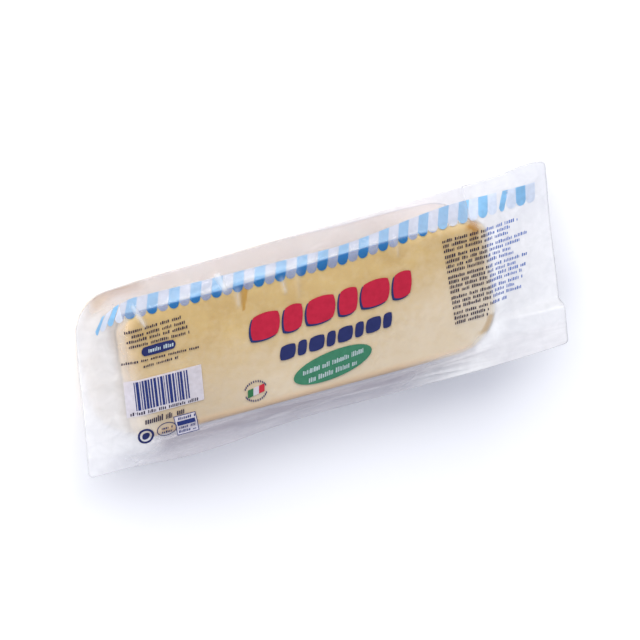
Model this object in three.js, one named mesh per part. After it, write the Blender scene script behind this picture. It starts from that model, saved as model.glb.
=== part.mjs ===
// A loaf of smoked cheese sealed in a clear film pack, lying on its back with the printed face up.
// Millimetres. X runs along the loaf, Y towards the top of the print, Z up out of the printed face.
// The origin is the centre of the flat face that the loaf rests on.
import * as THREE from 'three';

// the loaf in plan: where the film leaves its printed face, where its walls are widest, and its flat base
const FACE = { left: -104.5, right: 116.5, bottom: -38.8, top: 38.8, corner: 11.5 };
const WALL = { left: -119.2, right: 119.2, bottom: -41.7, top: 40.7, corner: 19.5 };
const BASE = { left: -111.5, right: 111.5, bottom: -35, top: 35, corner: 14.5 };
const TOP_BOW = 4.3;
const TOP_BOW_AT = 34;
const TOP_BOW_REACH = 136;
const WORN_CORNER = 15;

// the loaf's height, its printed face and its walls
const LOAF_DEPTH = 48.8;
const FACE_CROWN = 3;
const CROWN_POWER = 2.6;
const CROWN_FALL = 0.55;
const FACE_SAG = 0.5;
const SAG_LENGTH = 29;
const SAG_WIDTH = 24;
const SAG_PHASE = 0.8;
const RIM_INSET = 4.8;
const RIM_DROP = 1.2;
const WIDEST_AT = 17.5;
const WALL_UNEVEN = 0.5;
const UNEVEN_ALONG = 9;
const UNEVEN_ACROSS = 4;
const UNEVEN_HEIGHT = 9;

// the film's cut edge in plan, which leans and is a little askew to the loaf
const FILM = 0.8;
const FILM_EDGE = { left: -134.2, right: 157, bottom: -54.3, top: 52.9 };
const FILM_SLOPE = 1 / 30;
const FILM_LEAN = 0.04;
const FOLDED_CORNER = 20.4;
const CUT_CORNER = 2.5;
const TUCK = 6.2;
const TUCK_FROM = 55;
const TUCK_RUN = 115;
const HUMP = 2.3;
const HUMP_AT = 145;
const HUMP_WIDTH = 13;

// heights of the film's cut edge on each side, and the wave in its lower edge
const LEVEL = { left: 43.2, right: 41.9, bottom: 38.6, top: 42.3 };
const LEVEL_BLEND = 18.4;
const LEVEL_RUN = { left: 40.5, right: 46 };
const WAVE_LIFT = 10.4;
const WAVE_AT = -73.6;
const WAVE_WIDTH = 41.7;

// the crease across the right flap, and the ripples in the margin
const CREASE_X = 60;
const CREASE_Y = -22.4;
const CREASE_LENGTH = 50;
const CREASE_RUN = 4;
const CREASE_RISE = 7.6;
const RIPPLE = 1.1;
const RIPPLE_LENGTH = 13.6;
const RIPPLE_WIDTH = 25;
const RIPPLE_PHASE = 0.7;
const RIPPLE_ALONG = 0.7;
const RIPPLE_ACROSS = 0.6;
const FLAP_RIPPLE = 11;
const FLAP_RIPPLE_SKEW = 60;

// how finely the surface is divided: the face's grid, and the steps over the film and down the wall
const ALONG = 40;
const ACROSS = 14;
const FILM_STEPS = [0.12, 0.35, 0.55, 0.78, 1];
const WALL_HEIGHTS = [35, 26, 17.5, 9.7, 4.4, 1.2];
const WALL_GAP = 1.2;

const clamp01 = (v) => Math.min(1, Math.max(0, v));

const mix = (p, q, t) => p + (q - p) * t;

const smooth = (v) => {
  const t = clamp01(v);
  return t * t * (3 - 2 * t);
};

// A point of the unit square's border carried to a rectangle whose corners are rounded by the radius.
function rounded(a, b, side, radius) {
  const x = mix(side.left, side.right, (a + 1) / 2);
  const y = mix(side.bottom, side.top, (b + 1) / 2);
  const qx = Math.min(side.right - radius, Math.max(side.left + radius, x));
  const qy = Math.min(side.top - radius, Math.max(side.bottom + radius, y));
  const d = Math.hypot(x - qx, y - qy);
  if (qx === x || qy === y || d < 1e-9) {
    return [x, y];
  }
  return [qx + ((x - qx) / d) * radius, qy + ((y - qy) / d) * radius];
}

// A rectangle drawn in by a distance on all sides.
function inset(side, by) {
  return {
    left: side.left + by,
    right: side.right - by,
    bottom: side.bottom + by,
    top: side.top - by,
    corner: side.corner - by,
  };
}

// A rectangle part of the way from one to another.
function between(one, other, t) {
  const side = {};
  for (const key of Object.keys(one)) {
    side[key] = mix(one[key], other[key], t);
  }
  return side;
}

// An outline of the loaf in plan. Its upper side is bowed, and its lower right corner is more rounded.
function loafOutline(a, b, side) {
  const worn = a > 0 && b < 0 ? WORN_CORNER : 0;
  const [x, y] = rounded(a, b, side, side.corner + worn);
  const upper = (y - side.bottom) / (side.top - side.bottom);
  const bow = TOP_BOW * ((x - TOP_BOW_AT) / TOP_BOW_REACH) ** 2;
  return [x, y - bow * upper];
}

// The cut edge of the film in plan. Its upper left corner is folded in, its lower right corner is drawn up,
// and its upper edge has a low hump towards the right.
function filmOutline(a, b) {
  const radius = a < 0 && b > 0 ? FOLDED_CORNER : CUT_CORNER;
  const [x, y] = rounded(a, b, FILM_EDGE, radius);
  const upper = (y - FILM_EDGE.bottom) / (FILM_EDGE.top - FILM_EDGE.bottom);
  const lean = FILM_LEAN * Math.max(0, -x) * upper;
  const tuck = TUCK * smooth((x - TUCK_FROM) / TUCK_RUN) * (1 - upper);
  const hump = HUMP * Math.exp(-(((x - HUMP_AT) / HUMP_WIDTH) ** 2)) * upper;
  return [x + lean, y + FILM_SLOPE * x * upper + tuck + hump];
}

// The printed face is a little crowned, and sags slightly between its soft edges.
function faceHeight(x, y) {
  const u = clamp01(Math.abs(x) / FACE.right);
  const v = Math.abs(y) / FACE.top;
  const crown = FACE_CROWN * (1 - u ** CROWN_POWER) * (1 - CROWN_FALL * v * v);
  const sag = FACE_SAG * Math.sin(x / SAG_LENGTH + SAG_PHASE) * Math.cos(y / SAG_WIDTH);
  return LOAF_DEPTH + crown + sag * (1 - u);
}

// Height of the film's cut edge, from the side that it lies on.
function edgeLevel(x, y) {
  const right = smooth((x - FACE.right + LEVEL_BLEND) / LEVEL_RUN.right);
  const left = smooth((FACE.left - x + LEVEL_BLEND) / LEVEL_RUN.left);
  const lower = smooth(0.5 - y / (2 * LEVEL_BLEND));
  const wave = WAVE_LIFT * Math.exp(-(((x - WAVE_AT) / WAVE_WIDTH) ** 2));
  const side = mix(LEVEL.top, LEVEL.bottom + wave, lower);
  const base = side * (1 - right - left) + LEVEL.right * right + LEVEL.left * left;
  const rise = smooth((x - CREASE_X) / CREASE_LENGTH) * smooth((CREASE_Y - y) / CREASE_RUN);
  return base + CREASE_RISE * rise;
}

// Ripples of the loose film, growing towards its cut edge.
function ripple(x, y, t) {
  const past = Math.max(x - FACE.right, FACE.left - x);
  const along = Math.sin(x / RIPPLE_LENGTH + RIPPLE_PHASE) * Math.cos(y / RIPPLE_WIDTH);
  const across = Math.sin(y / FLAP_RIPPLE + x / FLAP_RIPPLE_SKEW) * smooth(past / LEVEL_BLEND);
  return RIPPLE * t * (RIPPLE_ALONG * along + RIPPLE_ACROSS * across);
}

// A point of the loose film: t is 0 where it leaves the loaf and 1 at the cut edge.
function filmPoint(a, b, t) {
  const inner = loafOutline(a, b, FACE);
  const outer = filmOutline(a, b);
  const x = mix(inner[0], outer[0], t);
  const y = mix(inner[1], outer[1], t);
  const start = faceHeight(inner[0], inner[1]) - RIM_DROP;
  const fall = 1 - (1 - t) * (1 - t);
  return [x, y, mix(start, edgeLevel(x, y), fall) + ripple(x, y, t)];
}

// A point of the loaf's wall, which swells down to its widest level and then rounds in to the base.
function wallPoint(a, b, z) {
  const uneven = WALL_UNEVEN * Math.sin(UNEVEN_ALONG * a + UNEVEN_ACROSS * b + z / UNEVEN_HEIGHT);
  if (z >= WIDEST_AT) {
    const swell = Math.sin(((LOAF_DEPTH - z) / (LOAF_DEPTH - WIDEST_AT)) * (Math.PI / 2));
    const side = inset(between(FACE, WALL, swell), uneven * swell);
    return [...loafOutline(a, b, side), z];
  }
  const round = Math.sqrt(1 - (1 - z / WIDEST_AT) ** 2);
  const side = inset(between(BASE, WALL, round), uneven * round);
  return [...loafOutline(a, b, side), z];
}

// The rings of the surface, from the rim of the printed face out over the film and back to the base.
const RINGS = [
  (a, b) => {
    const [x, y] = loafOutline(a, b, inset(FACE, RIM_INSET));
    return [x, y, faceHeight(x, y)];
  },
  (a, b) => filmPoint(a, b, 0),
];
for (const t of FILM_STEPS) {
  RINGS.push((a, b) => filmPoint(a, b, t));
}
for (const t of FILM_STEPS.slice(1).reverse()) {
  RINGS.push((a, b) => {
    const [x, y, z] = filmPoint(a, b, t);
    return [x, y, z - FILM];
  });
}
RINGS.push((a, b) => {
  const under = filmPoint(a, b, FILM_STEPS[1])[2] - FILM - WALL_GAP;
  return wallPoint(a, b, under);
});
for (const z of WALL_HEIGHTS) {
  RINGS.push((a, b) => wallPoint(a, b, z));
}
RINGS.push((a, b) => wallPoint(a, b, 0));

// The border of the dividing grid, walked once round.
function border() {
  const list = [];
  for (let i = 0; i < ALONG; i += 1) {
    list.push([-1 + (2 * i) / ALONG, -1]);
  }
  for (let j = 0; j < ACROSS; j += 1) {
    list.push([1, -1 + (2 * j) / ACROSS]);
  }
  for (let i = 0; i < ALONG; i += 1) {
    list.push([1 - (2 * i) / ALONG, 1]);
  }
  for (let j = 0; j < ACROSS; j += 1) {
    list.push([-1, 1 - (2 * j) / ACROSS]);
  }
  return list;
}

// Index of a border cell in the walk, or -1 inside.
function borderIndex(i, j) {
  if (j === 0 && i < ALONG) {
    return i;
  }
  if (i === ALONG && j < ACROSS) {
    return ALONG + j;
  }
  if (j === ACROSS && i > 0) {
    return ALONG + ACROSS + (ALONG - i);
  }
  if (i === 0 && j > 0) {
    return 2 * ALONG + ACROSS + (ACROSS - j);
  }
  return -1;
}

function packGeometry() {
  const position = [];
  const index = [];
  const rim = border();
  const n = rim.length;
  for (const point of RINGS) {
    for (const [a, b] of rim) {
      position.push(...point(a, b));
    }
  }
  for (let ring = 0; ring + 1 < RINGS.length; ring += 1) {
    for (let k = 0; k < n; k += 1) {
      const p = ring * n + k;
      const q = ring * n + ((k + 1) % n);
      index.push(p, p + n, q);
      index.push(q, p + n, q + n);
    }
  }
  // the printed face and the base close the two ends of the rings
  const cap = (ring, height, up) => {
    const id = [];
    for (let i = 0; i <= ALONG; i += 1) {
      id.push([]);
      for (let j = 0; j <= ACROSS; j += 1) {
        const at = borderIndex(i, j);
        if (at >= 0) {
          id[i].push(ring * n + at);
          continue;
        }
        const a = -1 + (2 * i) / ALONG;
        const b = -1 + (2 * j) / ACROSS;
        const m = Math.max(Math.abs(a), Math.abs(b));
        const edge = m > 0 ? RINGS[ring](a / m, b / m) : [0, 0, 0];
        const x = edge[0] * m;
        const y = edge[1] * m;
        id[i].push(position.length / 3);
        position.push(x, y, height(x, y));
      }
    }
    for (let i = 0; i < ALONG; i += 1) {
      for (let j = 0; j < ACROSS; j += 1) {
        const [p, q, r, s] = [id[i][j], id[i + 1][j], id[i + 1][j + 1], id[i][j + 1]];
        if (up) {
          index.push(p, q, r, p, r, s);
        } else {
          index.push(p, r, q, p, s, r);
        }
      }
    }
  };
  cap(0, faceHeight, true);
  cap(RINGS.length - 1, () => 0, false);
  const geometry = new THREE.BufferGeometry();
  geometry.setAttribute('position', new THREE.Float32BufferAttribute(position, 3));
  geometry.setIndex(index);
  geometry.computeVertexNormals();
  return geometry;
}

const pack = new THREE.Group();
const film = new THREE.MeshStandardMaterial({ color: 0xe3cf9f, roughness: 0.35 });
const sealed = new THREE.Mesh(packGeometry(), film);
sealed.name = 'sealed_pack';
pack.add(sealed);

export default pack;
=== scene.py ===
"""A loaf of smoked cheese in a clear printed film pack.

Sizes here are in millimetres, and Blender gets metres. X runs along the loaf, Y towards the top of the
print and Z up out of the printed face, as in the CAD model. A ramp is a pair: where a smooth step starts
and how far it runs, backwards where that is negative. A bell is a pair too: its middle and its width.
"""
import math

import bpy
import numpy as np
from mathutils import Matrix, Vector
from mathutils.bvhtree import BVHTree


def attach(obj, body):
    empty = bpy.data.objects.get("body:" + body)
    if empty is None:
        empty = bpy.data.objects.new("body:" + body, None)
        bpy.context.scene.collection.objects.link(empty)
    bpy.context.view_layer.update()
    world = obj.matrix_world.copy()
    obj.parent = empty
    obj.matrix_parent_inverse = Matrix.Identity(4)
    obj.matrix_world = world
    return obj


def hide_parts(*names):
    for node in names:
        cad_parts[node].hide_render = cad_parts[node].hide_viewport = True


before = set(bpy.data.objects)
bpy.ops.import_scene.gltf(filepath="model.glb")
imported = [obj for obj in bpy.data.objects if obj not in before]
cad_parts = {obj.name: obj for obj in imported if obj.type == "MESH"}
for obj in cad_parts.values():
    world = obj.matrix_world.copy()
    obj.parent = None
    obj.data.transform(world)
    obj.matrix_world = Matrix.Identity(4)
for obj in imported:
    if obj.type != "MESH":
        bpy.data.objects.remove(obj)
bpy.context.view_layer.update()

MM = 0.001
BODY = "root"
NODE = "sealed_pack"

# The loaf, as in the CAD model
FACE = dict(left=-104.5, right=116.5, bottom=-38.8, top=38.8, corner=11.5)
WALL = dict(left=-119.2, right=119.2, bottom=-41.7, top=40.7, corner=19.5)
BASE = dict(left=-111.5, right=111.5, bottom=-35, top=35, corner=14.5)
LEAST_CORNER = 0.5
TOP_BOW = 4.3
TOP_BOW_AT = 34
TOP_BOW_REACH = 136
WORN_CORNER = 15
LOAF_DEPTH = 48.8
FACE_CROWN = 3
CROWN_POWER = 2.6
CROWN_FALL = 0.55
FACE_SAG = 0.5
SAG_LENGTH = 29
SAG_WIDTH = 24
SAG_PHASE = 0.8
RIM_INSET = 4.8
RIM_DROP = 1.2
WIDEST_AT = 17.5
WALL_UNEVEN = 0.5
UNEVEN_ALONG = 9
UNEVEN_ACROSS = 4
UNEVEN_HEIGHT = 9

# The film's loose margin, as in the CAD model
FILM_EDGE = dict(left=-134.2, right=157, bottom=-54.3, top=52.9)
FILM_SLOPE = 1 / 30
FILM_LEAN = 0.04
FOLDED_CORNER = 20.4
CUT_CORNER = 2.5
TUCK = 6.2
TUCK_RAMP = (55, 115)
HUMP = 2.3
HUMP_BELL = (145, 13)
LEVEL = dict(left=43.2, right=41.9, bottom=38.6, top=42.3)
LEVEL_BLEND = 18.4
LEVEL_RUN = dict(left=40.5, right=46)
WAVE_LIFT = 10.4
WAVE_BELL = (-73.6, 41.7)
CREASE_RISE = 7.6
CREASE_X = (60, 50)
CREASE_Y = (-22.4, -4)
RIPPLE = 1.1
RIPPLE_LENGTH = 13.6
RIPPLE_WIDTH = 25
RIPPLE_PHASE = 0.7
RIPPLE_ALONG = 0.7
RIPPLE_ACROSS = 0.6
FLAP_RIPPLE = 11
FLAP_RIPPLE_SKEW = 60

# Meshes
ALONG = 240
ACROSS = 80
RIM_RINGS = 5
MARGIN_RINGS = 26
UNDER_RINGS = 14
WALL_RINGS = 22
EDGE_RINGS = 7
MARGIN_REACH = 15
LOOSE_RUN = 0.12
RELIEF_RUN = 0.25
UNDER_START = 0.35
FILM_THICK = 0.35
WALL_GAP = 1.2
FALL_BEND = 0.25
CHEESE_GAP = 0.7
CHEESE_EDGE = 2.4
CHEESE_INSET = 0.55
CHEESE_LIFT = 0.4


def clamp01(value):
    return np.clip(value, 0.0, 1.0)


def smooth(value):
    t = clamp01(value)
    return t * t * (3 - 2 * t)


def mix(one, other, share):
    return one + (other - one) * share


def ramp(value, start_and_run):
    """A smooth step from 0 to 1."""
    start, run = start_and_run
    return smooth((value - start) / run)


def bell(value, middle_and_width):
    """A soft peak of height 1."""
    middle, width = middle_and_width
    return np.exp(-(((value - middle) / width) ** 2))


def span(value, low, high, fade):
    """1 between two limits, with a fade inside each of them."""
    return smooth((value - low) / fade) * smooth((high - value) / fade)


def eased(share):
    """From 0 to 1, in small steps at first."""
    return 2 * smooth(share / 2)


def stacked(*parts):
    return np.stack(parts, axis=-1)


def inset(side, by):
    """A rectangle drawn in by a distance, its corner too."""
    return dict(
        left=side["left"] + by,
        right=side["right"] - by,
        bottom=side["bottom"] + by,
        top=side["top"] - by,
        corner=np.maximum(side["corner"] - by, LEAST_CORNER),
    )


def between(one, other, share):
    return {key: mix(one[key], other[key], share) for key in one}


def rounded(a, b, side, radius):
    """A border point of the square from -1 to 1, moved to the border of a rounded rectangle."""
    x = mix(side["left"], side["right"], (a + 1) / 2)
    y = mix(side["bottom"], side["top"], (b + 1) / 2)
    inner_x = np.clip(x, side["left"] + radius, side["right"] - radius)
    inner_y = np.clip(y, side["bottom"] + radius, side["top"] - radius)
    dx = x - inner_x
    dy = y - inner_y
    reach = np.hypot(dx, dy)
    in_corner = (np.abs(dx) > 0) & (np.abs(dy) > 0)
    scale = np.where(in_corner, radius / np.where(reach > 0, reach, 1), 1.0)
    return inner_x + dx * scale, inner_y + dy * scale


def bow(x, y, side):
    """How far the loaf's upper side bends down away from its middle."""
    upper = (y - side["bottom"]) / (side["top"] - side["bottom"])
    return TOP_BOW * ((x - TOP_BOW_AT) / TOP_BOW_REACH) ** 2 * upper


def loaf_outline(a, b, side):
    """The loaf in plan: bowed along the top, and its lower right corner more rounded."""
    worn = np.where((a > 0) & (b < 0), WORN_CORNER, 0)
    x, y = rounded(a, b, side, side["corner"] + worn)
    return x, y - bow(x, y, side)


def face_distance(x, y):
    """How far a point lies outside the loaf's upper edge, below zero inside it."""
    y = y + bow(x, y, FACE)
    across = x - (FACE["left"] + FACE["right"]) / 2
    radius = FACE["corner"] + np.where((across > 0) & (y < 0), WORN_CORNER, 0)
    past_x = np.abs(across) - (FACE["right"] - FACE["left"]) / 2 + radius
    past_y = np.abs(y) - (FACE["top"] - FACE["bottom"]) / 2 + radius
    outside = np.hypot(np.maximum(past_x, 0), np.maximum(past_y, 0))
    return outside + np.minimum(np.maximum(past_x, past_y), 0) - radius


def film_outline(a, b):
    """The film's cut edge in plan: one corner folded in, one drawn up, and a low hump along the top."""
    radius = np.where((a < 0) & (b > 0), FOLDED_CORNER, CUT_CORNER)
    x, y = rounded(a, b, FILM_EDGE, radius)
    upper = (y - FILM_EDGE["bottom"]) / (FILM_EDGE["top"] - FILM_EDGE["bottom"])
    tuck = TUCK * ramp(x, TUCK_RAMP) * (1 - upper)
    hump = HUMP * bell(x, HUMP_BELL) * upper
    return x + FILM_LEAN * np.maximum(0, -x) * upper, y + FILM_SLOPE * x * upper + tuck + hump


def face_height(x, y):
    u = clamp01(np.abs(x) / FACE["right"])
    v = np.abs(y) / FACE["top"]
    crown = FACE_CROWN * (1 - u ** CROWN_POWER) * (1 - CROWN_FALL * v * v)
    sag = FACE_SAG * np.sin(x / SAG_LENGTH + SAG_PHASE) * np.cos(y / SAG_WIDTH) * (1 - u)
    return LOAF_DEPTH + crown + sag


def end_shares(x):
    """How far a point belongs to the right and the left end of the film."""
    right = smooth((x - FACE["right"] + LEVEL_BLEND) / LEVEL_RUN["right"])
    left = smooth((FACE["left"] - x + LEVEL_BLEND) / LEVEL_RUN["left"])
    return right, left


def lower_share(y):
    """How far a point belongs to the film's lower side rather than its upper one."""
    return smooth(0.5 - y / (2 * LEVEL_BLEND))


def edge_level(x, y):
    """The height of the film's cut edge."""
    right, left = end_shares(x)
    lifted = LEVEL["bottom"] + WAVE_LIFT * bell(x, WAVE_BELL)
    side = mix(LEVEL["top"], lifted, lower_share(y))
    base = side * (1 - right - left) + LEVEL["right"] * right + LEVEL["left"] * left
    return base + CREASE_RISE * ramp(x, CREASE_X) * ramp(y, CREASE_Y)


def ripple(x, y, t):
    past = np.maximum(x - FACE["right"], FACE["left"] - x)
    along = np.sin(x / RIPPLE_LENGTH + RIPPLE_PHASE) * np.cos(y / RIPPLE_WIDTH)
    across = np.sin(y / FLAP_RIPPLE + x / FLAP_RIPPLE_SKEW) * smooth(past / LEVEL_BLEND)
    return RIPPLE * t * (RIPPLE_ALONG * along + RIPPLE_ACROSS * across)


def wall_point(a, b, z, drawn_in=0.0):
    """The loaf's wall at a height, drawn in by a distance."""
    uneven = WALL_UNEVEN * np.sin(UNEVEN_ALONG * a + UNEVEN_ACROSS * b + z / UNEVEN_HEIGHT)
    above = clamp01((LOAF_DEPTH - z) / (LOAF_DEPTH - WIDEST_AT))
    swell = np.sin(above * math.pi / 2)
    bulge = np.sqrt(1 - (1 - clamp01(z / WIDEST_AT)) ** 2)
    upper = between(FACE, WALL, swell)
    lower = between(BASE, WALL, bulge)
    is_upper = z >= WIDEST_AT
    side = {key: np.where(is_upper, upper[key], lower[key]) for key in FACE}
    share = np.where(is_upper, swell, bulge)
    x, y = loaf_outline(a, b, inset(side, uneven * share + drawn_in))
    return stacked(x, y, np.broadcast_to(z, x.shape))


# Where the film lifts off the face
CLING_LEVEL = 35.4
CLING_RISE = 3.4
CLING_RISE_RAMP = (-60, 120)
CLING_FALL = 5
CLING_FALL_RAMP = (68, 40)
CLING_RIGHT = 113.5
CLING_LEFT = -103.5
CLING_LEFT_LOW = 26


def past_cling(x, y):
    """How far a point lies past the line where the film lifts off the face, above it and at its ends."""
    above = y - CLING_LEVEL - CLING_RISE * ramp(x, CLING_RISE_RAMP) + CLING_FALL * ramp(x, CLING_FALL_RAMP)
    left = np.where(y > CLING_LEFT_LOW, CLING_LEFT - x, above)
    return np.maximum(np.maximum(above, left), x - CLING_RIGHT)


# Relief in the film: pleats across the loaf's upper edge, then creases on the loose film
PLEATS = (
    # x at the lower end, lower y, upper y, lean, height, width, milkiness, which also stands in for the
    # pleat's glint as painted highlight
    (-91.5, 23.5, 41, -6.5, 0.8, 1.7, 0.6),
    (-43.2, 32.5, 46, -3.8, 0.25, 3.4, 0.45),
    (-38.0, 22, 37, 0.8, 0.12, 2.3, 0.24),
    (-35.4, 20, 39, 2.0, -0.3, 2.2, 0.0),
    (-9.4, 23, 36, -1.9, 0.5, 1.6, 0.32),
    (-3.0, 18, 41, 2.5, 0.35, 2.2, 0.1),
    (59, 27, 44, 0.5, 0.4, 1.4, 0.15),
    (113.5, 24, 47, -1.6, 0.6, 2.0, 0.2),
)
PLEAT_TAPER = 0.45
FLAP_CREASES = (
    # start, end, height, width
    ((157, -22.8), (116, -1.5), 0.4, 2.6),
    ((146, -40), (112, -29), 0.6, 2.4),
    ((150, 8), (120, 14), 0.6, 2.2),
    ((126, 52), (128, 26), -0.4, 2.4),
)
CREASE_FADE = 0.3
CREASE_SHAPE = 1.5
CREASE_SEED = 11
CREASE_SIGNS = (-0.6, 1.0)
CREASE_FIELDS = (
    # crinkles at the left end, lines along the lower margin, puckers at the lower left corner
    dict(
        count=26, xs=(-132, -101), ys=(-50, 22),
        lengths=(12, 36), heights=(0.1, 0.32), widths=(1.1, 2.2), turn=1.0,
    ),
    dict(
        count=22, xs=(-80, 96), ys=(-53, -41),
        lengths=(35, 90), heights=(0.3, 0.8), widths=(0.6, 1.1), turn=0.05,
    ),
    dict(
        count=14, xs=(-121, -109), ys=(-36, -22),
        lengths=(4, 9), heights=(0.4, 0.9), widths=(0.6, 1.0), turn=1.0,
    ),
)
FACE_WAVES = (
    # length along, length across, phase, height
    (9.5, 31, 0.4, 0.10),
    (17, 13, 1.9, 0.10),
    (6.3, 22, 2.7, 0.06),
    (33, 8.5, 0.9, 0.08),
)
LOOSE_WAVES = ((6.1, 17, 0.3, 0.1), (11.7, 8.2, 1.2, 0.14))
WAVE_BEND = 0.6


def crease(x, y, start, end, height, width, taper=1.0):
    """A soft ridge from one point to another that fades at both ends, its start narrower by taper."""
    dx = end[0] - start[0]
    dy = end[1] - start[1]
    length = math.hypot(dx, dy)
    along = ((x - start[0]) * dx + (y - start[1]) * dy) / length ** 2
    across = np.abs((y - start[1]) * dx - (x - start[0]) * dy) / length
    wide = width * mix(taper, 1.0, clamp01(along))
    return height * span(along, 0, 1, CREASE_FADE) * np.exp(-((across / wide) ** CREASE_SHAPE))


def waves(x, y, rows):
    total = np.zeros_like(x)
    for along, across, phase, height in rows:
        bend = WAVE_BEND * np.sin(y / across)
        total += height * np.sin(x / along + phase + bend) * np.cos(y / across + phase)
    return total


def scattered_creases(rng, count, xs, ys, lengths, heights, widths, turn):
    """Seeded creases over an area, each turned a little from the X axis."""
    found = []
    for _ in range(count):
        middle = (rng.uniform(*xs), rng.uniform(*ys))
        half = rng.uniform(*lengths) / 2
        angle = rng.normal(0, turn)
        step = (half * math.cos(angle), half * math.sin(angle))
        start = (middle[0] - step[0], middle[1] - step[1])
        end = (middle[0] + step[0], middle[1] + step[1])
        height = rng.uniform(*heights) * rng.choice(CREASE_SIGNS)
        found.append((start, end, height, rng.uniform(*widths)))
    return found


def loose_creases():
    rng = np.random.default_rng(CREASE_SEED)
    found = list(FLAP_CREASES)
    for field in CREASE_FIELDS:
        found += scattered_creases(rng, **field)
    return found


LOOSE_CREASES = loose_creases()


def face_relief(x, y):
    total = waves(x, y, FACE_WAVES)
    for foot, low, high, lean, height, width, _ in PLEATS:
        total += crease(x, y, (foot, low), (foot + lean, high), height, width, PLEAT_TAPER)
    return total


def loose_relief(x, y):
    total = waves(x, y, LOOSE_WAVES)
    for start, end, height, width in LOOSE_CREASES:
        total += crease(x, y, start, end, height, width)
    return total


def film_top(x, y):
    return face_height(x, y) + face_relief(x, y)


def rim_point(a, b, share):
    """The film from the face's rim, share 0, to where it leaves the loaf, share 1."""
    x, y = loaf_outline(a, b, inset(FACE, RIM_INSET * (1 - share)))
    return stacked(x, y, film_top(x, y) - RIM_DROP * share ** 2)


def margin_point(a, b, t):
    """The loose film from the loaf, t 0, to its cut edge, t 1."""
    inner_x, inner_y = loaf_outline(a, b, FACE)
    outer_x, outer_y = film_outline(a, b)
    x = mix(inner_x, outer_x, t)
    y = mix(inner_y, outer_y, t)
    start = face_height(inner_x, inner_y) - RIM_DROP
    fall = mix(t, 1 - (1 - t) ** 2, FALL_BEND)
    loose = smooth(t / RELIEF_RUN) * loose_relief(x, y)
    z = mix(start, edge_level(x, y), fall) + ripple(x, y, t) + loose + face_relief(x, y)
    return stacked(x, y, z)


# Mesh building
def border_walk():
    """The square's border, counter-clockwise from its lower left corner."""
    low = np.linspace(-1, 1, ALONG, endpoint=False)
    side = np.linspace(-1, 1, ACROSS, endpoint=False)
    a = np.concatenate([low, np.ones(ACROSS), -low, -np.ones(ACROSS)])
    b = np.concatenate([-np.ones(ALONG), side, np.ones(ALONG), -side])
    return a, b


def ring_faces(first, count):
    """Quads between a ring that starts at an index and the next ring."""
    p = first + np.arange(count)
    q = first + np.roll(np.arange(count), -1)
    return stacked(p, p + count, q + count, q)


def grid_faces(index):
    """Quads of a grid of point numbers."""
    return stacked(index[:-1, :-1], index[1:, :-1], index[1:, 1:], index[:-1, 1:]).reshape(-1, 4)


def cap_faces(ring_start, fill_start):
    """Quads that fill a ring, with its inner points from an index on."""
    index = np.zeros((ALONG + 1, ACROSS + 1), int)
    ring = ring_start + np.arange(2 * (ALONG + ACROSS))
    index[:-1, 0] = ring[:ALONG]
    index[-1, :-1] = ring[ALONG:ALONG + ACROSS]
    index[:0:-1, -1] = ring[ALONG + ACROSS:2 * ALONG + ACROSS]
    index[0, :0:-1] = ring[2 * ALONG + ACROSS:]
    inner = np.arange((ALONG - 1) * (ACROSS - 1))
    index[1:-1, 1:-1] = fill_start + inner.reshape(ALONG - 1, ACROSS - 1)
    return grid_faces(index)


def cap_plan(side):
    """Plan points inside an outline, on a grid that shrinks towards the middle."""
    columns = np.linspace(-1, 1, ALONG + 1)[1:-1]
    rows = np.linspace(-1, 1, ACROSS + 1)[1:-1]
    a, b = (share.ravel() for share in np.meshgrid(columns, rows, indexing="ij"))
    reach = np.maximum(np.abs(a), np.abs(b))
    middle = reach == 0
    scale = np.where(middle, 1, reach)
    x, y = loaf_outline(np.where(middle, 1, a / scale), b / scale, side)
    return x * reach, y * reach


def closed_mesh(rings, top, base):
    """Rings from the face's rim down to the base, closed by a cap at each end."""
    count = len(rings[0])
    points = np.concatenate(rings + [top, base])
    faces = [ring_faces(k * count, count) for k in range(len(rings) - 1)]
    fill = len(rings) * count
    faces.append(cap_faces(0, fill))
    faces.append(cap_faces(fill - count, fill + len(top))[:, ::-1])
    return points, np.concatenate(faces)


def add_object(name, data):
    made = bpy.data.objects.new(name, data)
    bpy.context.scene.collection.objects.link(made)
    return made


def add_piece(name, points, faces, material):
    mesh = bpy.data.meshes.new(name)
    mesh.from_pydata((points * MM).tolist(), [], faces.tolist())
    mesh.polygons.foreach_set("use_smooth", [True] * len(mesh.polygons))
    mesh.materials.append(material)
    piece = add_object(name, mesh)
    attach(piece, BODY)
    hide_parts(NODE)
    return piece


def add_values(piece, name, values):
    """One number per point, for the material to read."""
    attribute = piece.data.attributes.new(name, "FLOAT", "POINT")
    attribute.data.foreach_set("value", np.asarray(values, dtype=np.float32))


# Material building
NOISE_SPAN = (0.3, 0.7)


def srgb(red, green, blue):
    """A colour from 0 to 255 as the linear colour that Blender takes."""
    share = np.array([red, green, blue]) / 255
    linear = np.where(share <= 0.04045, share / 12.92, ((share + 0.055) / 1.055) ** 2.4)
    return (*linear.tolist(), 1.0)


def new_material(name):
    material = bpy.data.materials.new(name)
    material.use_nodes = True
    tree = material.node_tree
    tree.nodes.clear()
    return material, tree


def add_node(tree, kind, inputs=None, **settings):
    node = tree.nodes.new(kind)
    for key, value in settings.items():
        setattr(node, key, value)
    for key, value in (inputs or {}).items():
        if isinstance(value, bpy.types.NodeSocket):
            tree.links.new(value, node.inputs[key])
        else:
            node.inputs[key].default_value = value
    return node


def bsdf(tree, kind, inputs):
    return add_node(tree, "ShaderNodeBsdf" + kind, inputs).outputs[0]


def shown(tree, shader):
    add_node(tree, "ShaderNodeOutputMaterial", {"Surface": shader})


def attribute(tree, name):
    return add_node(tree, "ShaderNodeAttribute", attribute_name=name).outputs["Fac"]


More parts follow.
